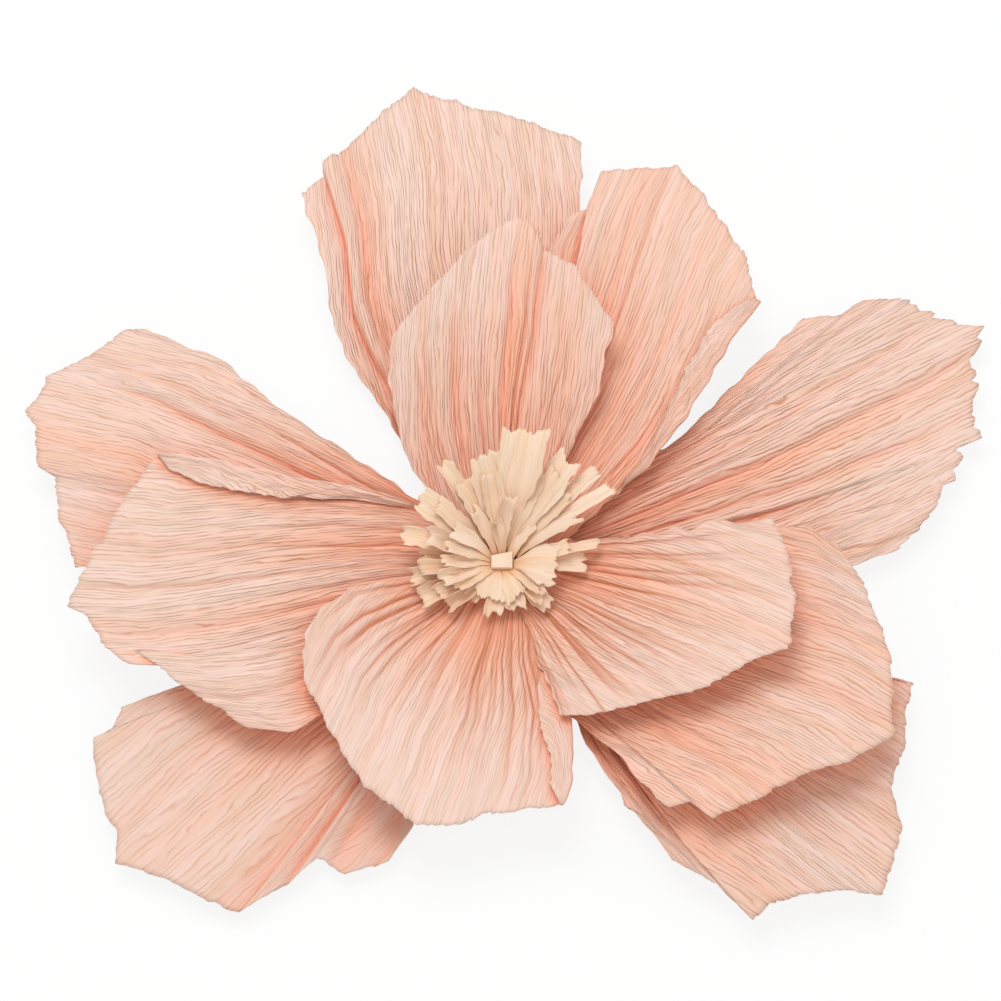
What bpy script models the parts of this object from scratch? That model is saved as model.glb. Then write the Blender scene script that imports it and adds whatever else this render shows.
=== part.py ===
"""A large open crepe paper flower, lying face up on its backing disc.

Eleven gathered petals in three layers are stacked by their feet on a round card. A strip of
cream crepe, cut into tabs and rolled round a folded core, stands on the stack. Metres, +Z up,
with the origin under the middle of the backing disc.
"""

from bisect import bisect_right
from math import atan2, cos, hypot, pi, radians, sin, tan

import bmesh
import bpy
from mathutils import Vector

# Paper and fits
PAPER = 0.0007  # a crepe sheet with its crinkle
CLEARANCE = 0.0003  # between neighbouring pieces
LEVEL = PAPER + CLEARANCE  # one petal foot to the next in the stack

# Backing disc
DISC_RADIUS = 0.030
DISC_THICKNESS = 0.0015
DISC_SIDES = 40

# Feet of the petals, which cross on the flower's axis
FOOT_HALF_WIDTH = 0.007
FOOT_BACK = 0.008  # how far a foot reaches behind the axis
FLAT_REACH = 0.025  # the stack is flat to this radius
BEND = 0.010  # radius over which a petal starts to rise

# Petals of each layer: from the axis to the tip, and half the width, before each petal's own share
OUTER_LENGTH = 0.215
OUTER_HALF_WIDTH = 0.066
MIDDLE_LENGTH = 0.180
MIDDLE_HALF_WIDTH = 0.065
INNER_LENGTH = 0.130
INNER_HALF_WIDTH = 0.058

# Rise of each layer above the level, in degrees, and the fall of its tips as a share of the length
OUTER_RISE = 6.0
MIDDLE_RISE = 13.5
INNER_RISE = 24.0
OUTER_DROOP = 0.044
MIDDLE_DROOP = 0.036
INNER_DROOP = 0.058

# Pleats
PLEAT_DEPTH = 0.0042
PLEAT_GROWTH = 0.045  # distance past the flat stack over which a pleat reaches its depth
RIDGE_SHARE = 0.30  # the ridges stand this share of the depth above the sheet
CREASE_HALF = 0.036  # half-width of a valley as a share of the petal's width
ROWS = 8  # cells from foot to tip

# Turned-over edges
TURN_ROOM = 0.0004
TURN_RADIUS = LEVEL + TURN_ROOM
TURN_STEPS = 3

# Core and fringe
CORE_WIDTH = 0.0088
CORE_DEPTH = 0.0062
CORE_HEIGHT = 0.0110
CORE_BEVEL = 0.0005
ROLL_WALL = 0.0069  # the rolled turns together
ROLL_HEIGHT = 0.0065
ROLL_SIDES = 12
TAB_GAP = 0.00025  # each side of a tab where it leaves the roll
TAB_LENGTH = 0.046  # in the outermost turn
TAB_WIDTH = 0.0125  # at its end
TAB_THICKNESS = 0.0009
TAB_STEPS = 4
TAB_BEND = 0.6  # below 1, a tab bends most where it leaves the roll

PETAL_COLOUR = (0.87, 0.55, 0.43, 1.0)
FRINGE_COLOUR = (0.86, 0.68, 0.47, 1.0)
CARD_COLOUR = (0.80, 0.66, 0.58, 1.0)

# Each petal is drawn as it lies, in its own frame, as pairs: across, counter-clockwise positive, as
# a share of half_width, and along the heading as a share of length. The first edge runs from the foot up
# the clockwise side, tip runs over to the other side, and the second edge runs from the foot up
# that side. creases are the valleys, as shares of the way across, with their depth. flap is the
# free edge of a side that is turned over on the petal, from the foot outwards.
PETALS = (
    dict(
        name="outer_petal_right", heading=20, level=0, rise=OUTER_RISE - 0.5, droop=OUTER_DROOP,
        length=1.065 * OUTER_LENGTH, half_width=0.894 * OUTER_HALF_WIDTH,
        first=((-0.60, 0.37), (-0.88, 0.61)),
        tip=((-0.90, 0.69), (-0.85, 0.72), (-0.72, 0.77), (-0.55, 0.82), (-0.55, 0.845), (-0.32, 0.87),
             (-0.31, 0.915), (0.06, 0.95), (0.48, 1.0), (0.86, 0.89), (0.96, 0.82), (0.92, 0.76),
             (1.0, 0.71)),
        second=((0.47, 0.405), (0.80, 0.59)),
        creases=((0.13, 0.7), (0.27, 0.8), (0.41, 0.7), (0.55, 1.0), (0.69, 0.8), (0.83, 0.7)),
    ),
    dict(
        name="outer_petal_top", heading=98, level=1, rise=OUTER_RISE + 0.5, droop=OUTER_DROOP,
        length=1.028 * OUTER_LENGTH, half_width=0.970 * OUTER_HALF_WIDTH,
        first=((-0.89, 0.70),),
        tip=((-0.96, 0.84), (-0.50, 0.915), (-0.28, 0.94), (0.01, 0.983), (0.13, 1.0), (0.25, 0.98),
             (0.56, 0.915), (0.82, 0.865), (0.83, 0.835), (1.0, 0.80)),
        second=((0.61, 0.32), (0.81, 0.435), (0.90, 0.51), (0.90, 0.65)),
        creases=((0.20, 0.4), (0.42, 0.4), (0.62, 0.5), (0.80, 1.0), (0.92, 0.9)),
    ),
    dict(
        name="outer_petal_lower_left", heading=225, level=2, rise=OUTER_RISE - 0.7, droop=OUTER_DROOP,
        length=0.935 * OUTER_LENGTH, half_width=1.015 * OUTER_HALF_WIDTH,
        first=((-0.44, 0.38),),
        tip=((-0.81, 0.66), (-1.0, 0.77), (-0.94, 0.82), (-0.98, 0.86), (-0.88, 0.89), (-0.58, 0.95),
             (-0.46, 0.957), (-0.31, 1.0), (-0.01, 0.955), (0.43, 0.895), (0.52, 0.78), (0.53, 0.71),
             (0.72, 0.69), (0.85, 0.61), (0.80, 0.52)),
        second=((0.43, 0.27),),
        creases=((0.14, 0.5), (0.32, 0.5), (0.52, 0.6), (0.69, 1.1), (0.80, 0.8), (0.90, 0.8)),
    ),
    dict(
        name="outer_petal_left", heading=165, level=3, rise=OUTER_RISE, droop=OUTER_DROOP,
        length=0.991 * OUTER_LENGTH, half_width=0.924 * OUTER_HALF_WIDTH,
        first=((-0.31, 0.20), (-0.51, 0.375), (-0.75, 0.565), (-0.89, 0.64)),
        tip=((-1.0, 0.82), (-0.95, 0.86), (-0.75, 0.90), (-0.47, 0.98), (-0.18, 1.0), (-0.10, 0.977),
             (0.19, 0.94), (0.23, 0.90), (0.46, 0.875), (0.82, 0.80)),
        second=((0.50, 0.48),),
        creases=((0.14, 0.6), (0.30, 0.8), (0.48, 0.8), (0.66, 0.7), (0.84, 0.6)),
    ),
    dict(
        name="outer_petal_lower_right", heading=-44, level=4, rise=OUTER_RISE + 0.2, droop=OUTER_DROOP,
        length=0.972 * OUTER_LENGTH, half_width=1.212 * OUTER_HALF_WIDTH,
        first=((-0.35, 0.325), (-0.39, 0.37), (-0.50, 0.515)),
        tip=((-0.55, 0.665), (-0.48, 0.76), (-0.49, 0.853), (-0.37, 0.853), (-0.08, 0.93), (0.06, 1.0),
             (0.23, 0.97), (0.40, 0.94), (0.50, 0.87), (0.71, 0.84), (0.84, 0.79), (1.0, 0.765),
             (0.95, 0.735)),
        second=((0.49, 0.43),),
        creases=((0.16, 0.5), (0.34, 0.5), (0.52, 0.6), (0.70, 0.7), (0.86, 0.7)),
    ),
    dict(
        name="middle_petal_top_right", heading=61, level=5, rise=MIDDLE_RISE - 0.5, droop=MIDDLE_DROOP,
        length=1.033 * MIDDLE_LENGTH, half_width=0.769 * MIDDLE_HALF_WIDTH,
        first=((-0.68, 0.35), (-0.76, 0.51), (-0.79, 0.68)),
        tip=((-0.83, 0.80), (-0.55, 0.885), (-0.12, 0.95), (0.34, 1.0), (0.89, 0.907), (0.79, 0.84),
             (0.96, 0.775)),
        second=((0.60, 0.45), (0.93, 0.70)),
        creases=((0.30, 0.4), (0.52, 0.5), (0.72, 0.5), (0.88, 1.0)),
        flap=((-0.42, 0.42), (-0.58, 0.55), (-0.60, 0.70), (-0.76, 0.79)),
    ),
    dict(
        name="middle_petal_left", heading=184, level=6, rise=MIDDLE_RISE, droop=MIDDLE_DROOP,
        length=0.994 * MIDDLE_LENGTH, half_width=1.092 * MIDDLE_HALF_WIDTH,
        first=((-0.41, 0.20), (-0.49, 0.345), (-0.58, 0.55), (-0.67, 0.71)),
        tip=((-0.70, 0.79), (-0.44, 0.865), (-0.06, 0.955), (0.20, 1.0), (0.25, 0.965), (0.40, 0.934),
             (0.56, 0.875), (0.48, 0.845), (0.69, 0.755), (0.96, 0.605)),
        second=((0.90, 0.43), (1.0, 0.52)),
        creases=((0.18, 0.5), (0.33, 0.7), (0.48, 0.8), (0.64, 0.8), (0.82, 0.6)),
        flap=((-0.33, 0.36), (-0.44, 0.55), (-0.50, 0.665), (-0.60, 0.76)),
    ),
    dict(
        name="middle_petal_right", heading=-25, level=7, rise=MIDDLE_RISE + 0.5, droop=MIDDLE_DROOP,
        length=0.983 * MIDDLE_LENGTH, half_width=1.077 * MIDDLE_HALF_WIDTH,
        first=((-0.71, 0.31),),
        tip=((-1.0, 0.61), (-0.92, 0.645), (-0.97, 0.705), (-0.63, 0.82), (-0.47, 0.87), (-0.35, 0.933),
             (-0.09, 1.0), (0.34, 0.925), (0.66, 0.81), (0.87, 0.705)),
        second=((0.62, 0.40), (0.87, 0.61)),
        creases=((0.12, 0.7), (0.27, 0.8), (0.43, 0.6), (0.62, 0.5), (0.80, 0.5)),
    ),
    dict(
        name="inner_petal_top", heading=90, level=8, rise=INNER_RISE, droop=INNER_DROOP,
        length=1.085 * INNER_LENGTH, half_width=0.828 * INNER_HALF_WIDTH,
        first=((-0.51, 0.28), (-0.85, 0.495)),
        tip=((-0.98, 0.685), (-0.63, 0.855), (-0.38, 0.905), (-0.24, 0.99), (-0.14, 1.0), (0.25, 0.92),
             (0.57, 0.81), (0.97, 0.645)),
        second=((0.83, 0.30), (0.89, 0.36), (1.0, 0.51)),
        creases=((0.16, 0.5), (0.32, 1.2), (0.47, 0.9), (0.66, 0.7), (0.83, 0.5)),
    ),
    dict(
        name="inner_petal_bottom", heading=255, level=9, rise=INNER_RISE - 4.0, droop=INNER_DROOP,
        length=0.938 * INNER_LENGTH, half_width=1.172 * INNER_HALF_WIDTH,
        first=((-0.46, 0.13), (-0.66, 0.185), (-0.83, 0.245), (-0.96, 0.34), (-1.0, 0.45)),
        tip=((-1.0, 0.52), (-0.93, 0.62), (-0.76, 0.72), (-0.59, 0.83), (-0.38, 0.925), (-0.05, 1.0),
             (0.16, 0.975), (0.35, 0.90), (0.74, 0.815)),
        second=((0.42, 0.31), (0.64, 0.48), (0.76, 0.70)),
        creases=((0.30, 0.4), (0.50, 0.6), (0.66, 0.7), (0.84, 0.6)),
        flap=((0.50, 0.60), (0.56, 0.65), (0.60, 0.74)),
    ),
    dict(
        name="inner_petal_right", heading=-20, level=10, rise=INNER_RISE + 3.0, droop=INNER_DROOP,
        length=0.962 * INNER_LENGTH, half_width=1.017 * INNER_HALF_WIDTH,
        first=((-0.36, 0.135), (-0.76, 0.28)),
        tip=((-1.0, 0.37), (-0.94, 0.465), (-0.71, 0.645), (-0.52, 0.795), (-0.23, 0.915), (-0.11, 1.0),
             (0.26, 0.96), (0.66, 0.865), (0.76, 0.80)),
        second=((0.37, 0.28), (0.55, 0.535)),
        creases=((0.22, 0.6), (0.38, 0.7), (0.56, 0.8), (0.74, 0.7)),
    ),
)

# One row for each turn of the fringe, outermost first: tab length, width at its end, the degrees
# above the level at which it starts and ends, and its sideways lean in tabs. The lengths then vary.
FRINGE_TURNS = (
    dict(length=TAB_LENGTH, width=TAB_WIDTH, start=64.0, end=20.0, skew=0.0),
    dict(length=0.89 * TAB_LENGTH, width=0.92 * TAB_WIDTH, start=73.0, end=33.0, skew=0.5),
    dict(length=0.74 * TAB_LENGTH, width=0.76 * TAB_WIDTH, start=80.0, end=46.0, skew=0.0),
)
FRINGE_FAR_SIDE = 0.20  # the tabs towards +Y are this share longer, those towards -Y shorter
TAB_WAVE = 0.08  # share by which the tab lengths vary besides
TAB_WAVE_STEP = 3.1  # radians of that wave from tab to tab, and from turn to turn
TURN_WAVE_STEP = 1.7

STACK_TOP = DISC_THICKNESS + len(PETALS) * LEVEL


def material(name, colour, roughness):
    mat = bpy.data.materials.new(name)
    mat.use_nodes = True
    shader = mat.node_tree.nodes["Principled BSDF"]
    shader.inputs["Base Color"].default_value = colour
    shader.inputs["Roughness"].default_value = roughness
    shader.inputs["Metallic"].default_value = 0.0
    return mat


def add_object(name, mesh_data, mat):
    mesh = bpy.data.meshes.new(name)
    mesh_data.to_mesh(mesh)
    mesh_data.free()
    mesh.materials.append(mat)
    obj = bpy.data.objects.new(name, mesh)
    FLOWER.objects.link(obj)
    return obj


def along_line(points, share):
    """The point at this share of a polyline's length."""
    ends = [0.0]
    for a, b in zip(points, points[1:]):
        ends.append(ends[-1] + (b - a).length)
    reach = share * ends[-1]
    i = min(max(bisect_right(ends, reach) - 1, 0), len(points) - 2)
    step = (reach - ends[i]) / (ends[i + 1] - ends[i])
    return points[i].lerp(points[i + 1], step)


class Petal:
    """The sheet of one petal: where the point at shares (u across, v along) lies."""

    def __init__(self, spec):
        self.spec = spec
        self.foot = (Vector((-FOOT_BACK, -FOOT_HALF_WIDTH)), Vector((-FOOT_BACK, FOOT_HALF_WIDTH)))
        self.tip = self.outline("tip")
        self.first = [self.foot[0], *self.outline("first"), self.tip[0]]
        self.second = [self.foot[1], *self.outline("second"), self.tip[-1]]
        self.floor = DISC_THICKNESS + CLEARANCE + spec["level"] * LEVEL

    def outline(self, part):
        spec = self.spec
        return [
            Vector((along * spec["length"], across * spec["half_width"])) for across, along in spec[part]
        ]

    def flat(self, u, v):
        """Seen from above: the four edges blended over the sheet."""
        straight_tip = self.tip[0].lerp(self.tip[-1], u)
        sides = along_line(self.first, v).lerp(along_line(self.second, v), u)
        return sides + (along_line(self.tip, u) - straight_tip) * v

    def depth(self, radius):
        """Depth of the pleats at this distance from the axis."""
        past = max(radius - FLAT_REACH, 0.0)
        return PLEAT_DEPTH * past**2 / (past**2 + PLEAT_GROWTH**2)

    def smooth_height(self, radius):
        """Height of the sheet without its pleats."""
        past = max(radius - FLAT_REACH, 0.0)
        rise = tan(radians(self.spec["rise"])) * past * past / (past + BEND)
        share = past / (self.spec["length"] - FLAT_REACH)
        return self.floor + rise - self.spec["droop"] * self.spec["length"] * share**3

    def pleat(self, u, radius):
        """Height that the pleats add: down in each crease, a little up between them."""
        calm = min(1.0, min(u, 1.0 - u) / (2 * CREASE_HALF))
        drop = 0.0
        for place, strength in self.spec["creases"]:
            nearness = max(0.0, 1.0 - abs(u - place) / CREASE_HALF)
            drop += strength * nearness * (1.0 + RIDGE_SHARE)
        return self.depth(radius) * calm * (RIDGE_SHARE - drop)

    def point(self, u, v):
        flat = self.flat(u, v)
        height = self.smooth_height(flat.length) + self.pleat(u, flat.length)
        return Vector((flat.x, flat.y, height))

    def columns(self):
        """Shares across at which the mesh has a column: each crease with its two shoulders, the
        ridges between, and the edges."""
        places = [0.0]
        last = 0.0
        for place, _ in self.spec["creases"]:
            places += [(last + place) / 2, place - CREASE_HALF, place, place + CREASE_HALF]
            last = place
        return [*places, (last + 1.0) / 2, 1.0]

    def turned_points(self, v, first_row):
        """Points from the edge round the bend to the free edge of the side that is turned over."""
        free = self.outline("flap")
        side = -1.0 if free[0].y < 0 else 1.0
        edge = self.point(0.0 if side < 0 else 1.0, v)
        points = []
        for step in range(1, TURN_STEPS + 1):
            angle = pi * step / TURN_STEPS
            out = Vector((0.0, side * sin(angle), 1.0 - cos(angle)))
            points.append(edge + out * TURN_RADIUS)
        end = along_line(free, (v - first_row) / (1.0 - first_row))
        height = self.smooth_height(end.length) + RIDGE_SHARE * self.depth(end.length)
        points.append(Vector((end.x, end.y, height + 2 * TURN_RADIUS)))
        return points


def make_petal(spec, mat):
    """The sheet as a grid: rows along the petal, and columns across with a turned-over side last."""
    petal = Petal(spec)
    columns = petal.columns()
    turned = flap_row = 0
    if "flap" in spec:
        if spec["flap"][0][0] < 0:
            columns.reverse()
        turned = TURN_STEPS + 1
        start = petal.outline("flap")[0].x
        flap_row = sum(petal.flat(columns[-1], row / ROWS).x < start for row in range(ROWS))
    grid = bmesh.new()
    wide = len(columns) + turned
    bmesh.ops.create_grid(grid, x_segments=ROWS, y_segments=wide - 1, size=1.0)
    for vert in grid.verts:
        row = round((vert.co.x + 1.0) / 2.0 * ROWS)
        column = round((vert.co.y + 1.0) / 2.0 * (wide - 1))
        if column < len(columns):
            vert.co = petal.point(columns[column], row / ROWS)
        else:
            share = max(row, flap_row) / ROWS
            vert.co = petal.turned_points(share, flap_row / ROWS)[column - len(columns)]
            vert.tag = row < flap_row
    bmesh.ops.delete(grid, geom=[vert for vert in grid.verts if vert.tag], context="VERTS")
    if columns[0] > columns[1]:
        bmesh.ops.reverse_faces(grid, faces=grid.faces)
    obj = add_object(spec["name"], grid, mat)
    obj.rotation_euler.z = radians(spec["heading"])
    sheet = obj.modifiers.new("paper", "SOLIDIFY")
    sheet.thickness = PAPER
    sheet.offset = 1.0
    return obj


def next_loop(mesh_data, edges, radius, height):
    """Carries a loop of edges on to a new radius and height, and gives the new edges and faces."""
    made = bmesh.ops.extrude_edge_only(mesh_data, edges=edges)["geom"]
    verts = [item for item in made if isinstance(item, bmesh.types.BMVert)]
    faces = [item for item in made if isinstance(item, bmesh.types.BMFace)]
    for vert in verts:
        flat = vert.co.xy.normalized() * radius
        vert.co = Vector((flat.x, flat.y, height))
    loop = [
        item for item in made
        if isinstance(item, bmesh.types.BMEdge) and all(vert in verts for vert in item.verts)
    ]
    return loop, faces


def grow_tab(mesh_data, face, turn, length):
    """Draws one face of the roll out into a tab that bends away from the axis."""
    bmesh.ops.inset_individual(mesh_data, faces=[face], thickness=TAB_GAP)
    place = face.calc_center_median()
    start = atan2(place.y, place.x)
    width = max((a.co - b.co).length for a in face.verts for b in face.verts) / 2**0.5
    depth = face.calc_area() / width
    for step in range(1, TAB_STEPS + 1):
        share = step / TAB_STEPS
        middle = (step - 0.5) / TAB_STEPS
        lean = radians(turn["start"] + (turn["end"] - turn["start"]) * middle**TAB_BEND)
        azimuth = start + turn["skew"] * 2 * pi / ROLL_SIDES * share
        outward = Vector((cos(azimuth), sin(azimuth), 0.0))
        across = Vector((-sin(azimuth), cos(azimuth), 0.0))
        ahead = outward * cos(lean) + Vector((0.0, 0.0, sin(lean)))
        under = outward * sin(lean) - Vector((0.0, 0.0, cos(lean)))
        old = face.calc_center_median()
        place = place + ahead * length / TAB_STEPS
        half_width = (width + (turn["width"] - width) * share) / 2
        half_depth = (depth + (TAB_THICKNESS - depth) * min(1.0, 2 * share)) / 2
        face = bmesh.ops.extrude_discrete_faces(mesh_data, faces=[face])["faces"][0]
        for vert in face.verts:
            off = vert.co - old
            side = 1.0 if off.dot(across) > 0 else -1.0
            below = 1.0 if off.dot(under) > 0 else -1.0
            vert.co = place + across * side * half_width + under * below * half_depth


def make_fringe(mat):
    """The rolled strip: a short roll of several turns, with tabs drawn out of its top."""
    roll = bmesh.new()
    bottom = STACK_TOP + CLEARANCE
    top = bottom + ROLL_HEIGHT
    inner = hypot(CORE_WIDTH, CORE_DEPTH) / 2 + CLEARANCE
    outer = inner + ROLL_WALL
    bmesh.ops.create_circle(roll, segments=ROLL_SIDES, radius=outer)
    bmesh.ops.translate(roll, verts=roll.verts, vec=(0.0, 0.0, bottom))
    start = roll.edges[:]
    loop, _ = next_loop(roll, start, outer, top)
    turns = []
    for number in range(1, len(FRINGE_TURNS) + 1):
        loop, faces = next_loop(roll, loop, outer - ROLL_WALL * number / len(FRINGE_TURNS), top)
        turns.append(faces)
    loop, _ = next_loop(roll, loop, inner, bottom)
    bmesh.ops.bridge_loops(roll, edges=start + loop)
    bmesh.ops.recalc_face_normals(roll, faces=roll.faces)
    for number, (turn, faces) in enumerate(zip(FRINGE_TURNS, turns)):
        centres = {face: face.calc_center_median() for face in faces}
        faces.sort(key=lambda face: atan2(centres[face].y, centres[face].x))
        for i, face in enumerate(faces):
            far = sin(atan2(centres[face].y, centres[face].x))
            wave = sin(TAB_WAVE_STEP * i + TURN_WAVE_STEP * number)
            length = turn["length"] * (1 + FRINGE_FAR_SIDE * far) * (1 + TAB_WAVE * wave)
            grow_tab(roll, face, turn, length)
    return add_object("centre_fringe", roll, mat)


def make_core(mat):
    block = bmesh.new()
    bmesh.ops.create_cube(block, size=1.0)
    bmesh.ops.scale(block, verts=block.verts, vec=(CORE_WIDTH, CORE_DEPTH, CORE_HEIGHT))
    bottom = STACK_TOP + CLEARANCE
    bmesh.ops.translate(block, verts=block.verts, vec=(0.0, 0.0, bottom + CORE_HEIGHT / 2))
    core = add_object("centre_core", block, mat)
    rounding = core.modifiers.new("edges", "BEVEL")
    rounding.width = CORE_BEVEL
    rounding.segments = 2
    return core


def make_disc(mat):
    disc = bmesh.new()
    bmesh.ops.create_cone(
        disc, cap_ends=True, segments=DISC_SIDES, radius1=DISC_RADIUS, radius2=DISC_RADIUS,
        depth=DISC_THICKNESS,
    )
    bmesh.ops.translate(disc, verts=disc.verts, vec=(0.0, 0.0, DISC_THICKNESS / 2))
    return add_object("backing_disc", disc, mat)


for old in list(bpy.data.objects):
    bpy.data.objects.remove(old, do_unlink=True)

FLOWER = bpy.data.collections.new("crepe_paper_flower")
bpy.context.scene.collection.children.link(FLOWER)

petal_paper = material("petal_crepe", PETAL_COLOUR, 0.85)
cream_paper = material("cream_crepe", FRINGE_COLOUR, 0.85)
card = material("backing_card", CARD_COLOUR, 0.80)

make_disc(card)
for petal_spec in PETALS:
    make_petal(petal_spec, petal_paper)
make_fringe(cream_paper)
make_core(cream_paper)
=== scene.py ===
# %% [markdown]
# # A crepe paper flower
# The real flower is a stack of gathered paper petals, glued by their feet on a round card, with a
# fringed roll of cream paper in the middle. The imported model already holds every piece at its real
# size and place. This lesson gives each piece its finish: sheets with folds, gathers and crinkle in
# place of the plain solids, and materials that show the grain of the paper.
# It starts with the tools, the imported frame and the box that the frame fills.

# %% Tools and the frame
from math import cos, pi, radians, sin, sqrt, tan

import bmesh
import bpy
import numpy as np
from mathutils import Matrix, Vector
from mathutils.bvhtree import BVHTree


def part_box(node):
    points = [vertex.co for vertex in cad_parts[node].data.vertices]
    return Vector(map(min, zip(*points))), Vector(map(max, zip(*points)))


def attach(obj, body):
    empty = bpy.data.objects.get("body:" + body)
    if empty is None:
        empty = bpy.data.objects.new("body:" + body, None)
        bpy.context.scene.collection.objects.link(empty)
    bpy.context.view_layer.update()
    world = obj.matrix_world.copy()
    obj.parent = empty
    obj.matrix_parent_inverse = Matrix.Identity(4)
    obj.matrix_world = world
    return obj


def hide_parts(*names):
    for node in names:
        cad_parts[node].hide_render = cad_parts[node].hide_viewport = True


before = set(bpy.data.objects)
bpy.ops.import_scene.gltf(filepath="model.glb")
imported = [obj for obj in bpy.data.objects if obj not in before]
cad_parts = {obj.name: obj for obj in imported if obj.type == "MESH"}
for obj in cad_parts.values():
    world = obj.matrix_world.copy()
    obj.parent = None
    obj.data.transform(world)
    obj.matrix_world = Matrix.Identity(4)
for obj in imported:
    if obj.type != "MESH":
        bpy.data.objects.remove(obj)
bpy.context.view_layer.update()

# %% [markdown]
# ## The camera
# The photograph looks down on the flower from in front, at 72 degrees above the table. Nothing
# about it is strongly foreshortened, so the lens is long and the camera stands well back. The
# camera comes first, because all that follows is judged through it.

# %% Camera
VIEW_ELEVATION = radians(72)
VIEW_DISTANCE = 1.2
VIEW_TARGET = Vector((-0.0006, 0.026, 0.015))
VIEW_WIDTH = 0.4228  # metres across the picture at the target
SENSOR = 36.0

camera_data = bpy.data.cameras.new("camera")
camera_data.sensor_width = SENSOR
camera_data.lens = SENSOR * VIEW_DISTANCE / VIEW_WIDTH
camera = bpy.data.objects.new("camera", camera_data)
camera.location = VIEW_TARGET + VIEW_DISTANCE * Vector((0, -cos(VIEW_ELEVATION), sin(VIEW_ELEVATION)))
camera.rotation_euler = (pi / 2 - VIEW_ELEVATION, 0, 0)
bpy.context.scene.collection.objects.link(camera)
bpy.context.scene.camera = camera
print("camera:", round(camera_data.lens), "mm lens at", round(VIEW_DISTANCE, 2), "m")

# %% [markdown]
# ## Light, floor and background
# Paper is matte, and its folds read best under one soft light that comes from the top of the
# picture, with the rest of the room pale enough to fill the shadows. The lamps and the world
# together put about as much light on a level sheet as makes its colour come out as written. The
# floor is white to the camera and still takes a small part of the flower's shadow.

# %% World and lamps
WORLD_STRENGTH = 0.70
LAMPS = (
    dict(name="key", place=(-0.20, 0.50, 1.35), size=0.60, power=8.9),
    dict(name="fill", place=(0.50, -0.60, 1.40), size=1.20, power=1.3),
)

bpy.context.scene.view_settings.view_transform = "Standard"
world = bpy.data.worlds.new("studio")
bpy.context.scene.world = world
world.use_nodes = True
background = world.node_tree.nodes["Background"]
background.inputs["Color"].default_value = (1.0, 0.99, 0.98, 1.0)
background.inputs["Strength"].default_value = WORLD_STRENGTH


def aim(obj, place, target):
    """Puts a lamp at a place and turns its -Z at the target."""
    obj.location = place
    obj.rotation_euler = (Vector(target) - Vector(place)).to_track_quat("-Z", "Y").to_euler()


for lamp in LAMPS:
    light = bpy.data.lights.new(lamp["name"], "AREA")
    light.shape = "SQUARE"
    light.size = lamp["size"]
    light.energy = lamp["power"]
    holder = bpy.data.objects.new(lamp["name"], light)
    aim(holder, lamp["place"], VIEW_TARGET)
    bpy.context.scene.collection.objects.link(holder)
print("lamps:", [lamp["name"] for lamp in LAMPS])


# %% Small helpers for materials
def new_material(name):
    mat = bpy.data.materials.new(name)
    mat.use_nodes = True
    return mat, mat.node_tree.nodes, mat.node_tree.links


def math_node(nodes, links, operation, first, second=None, third=None, clamp=False):
    """A Math node on sockets or plain numbers, and its output."""
    node = nodes.new("ShaderNodeMath")
    node.operation = operation
    node.use_clamp = clamp
    for socket, value in zip(node.inputs, (first, second, third)):
        if isinstance(value, bpy.types.NodeSocket):
            links.new(value, socket)
        elif value is not None:
            socket.default_value = value
    return node.outputs[0]


def attribute(nodes, name):
    """What the mesh holds under this name at each point."""
    node = nodes.new("ShaderNodeAttribute")
    node.attribute_name = name
    return node.outputs["Vector"]


def split(nodes, links, vector):
    """The three values of a vector."""
    node = nodes.new("ShaderNodeSeparateXYZ")
    links.new(vector, node.inputs[0])
    return node.outputs


def mix_colours(nodes, links, factor, first, second, blend="MIX"):
    """A Mix node for colours, and its result."""
    node = nodes.new("ShaderNodeMix")
    node.data_type = "RGBA"
    node.blend_type = blend
    for socket, value in zip((node.inputs[0], node.inputs[6], node.inputs[7]), (factor, first, second)):
        if isinstance(value, bpy.types.NodeSocket):
            links.new(value, socket)
        else:
            socket.default_value = value
    return node.outputs[2]


# %% Floor
FLOOR_SIZE = 8.0
FLOOR_COLOUR = (0.90, 0.90, 0.90, 1.0)
SHADOW_SHARE = 0.15  # how much of the real floor, with its shadow, the camera sees

floor_paint, nodes, links = new_material("floor")
shader = nodes["Principled BSDF"]
shader.inputs["Base Color"].default_value = FLOOR_COLOUR
shader.inputs["Roughness"].default_value = 0.9
glow = nodes.new("ShaderNodeEmission")
glow.inputs["Strength"].default_value = 1.0
path = nodes.new("ShaderNodeLightPath")
seen = math_node(nodes, links, "MAXIMUM", path.outputs["Is Camera Ray"], path.outputs["Is Glossy Ray"])
seen = math_node(nodes, links, "MAXIMUM", seen, path.outputs["Is Transmission Ray"])
seen = math_node(nodes, links, "MULTIPLY", seen, 1.0 - SHADOW_SHARE)
blend = nodes.new("ShaderNodeMixShader")
links.new(seen, blend.inputs[0])
links.new(shader.outputs[0], blend.inputs[1])
links.new(glow.outputs[0], blend.inputs[2])
links.new(blend.outputs[0], nodes["Material Output"].inputs["Surface"])

plane = bmesh.new()
bmesh.ops.create_grid(plane, x_segments=1, y_segments=1, size=FLOOR_SIZE / 2)
floor_mesh = bpy.data.meshes.new("floor")
plane.to_mesh(floor_mesh)
plane.free()
floor_mesh.materials.append(floor_paint)
floor = bpy.data.objects.new("floor", floor_mesh)
bpy.context.scene.collection.objects.link(floor)
print("floor:", FLOOR_SIZE, "m")

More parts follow.
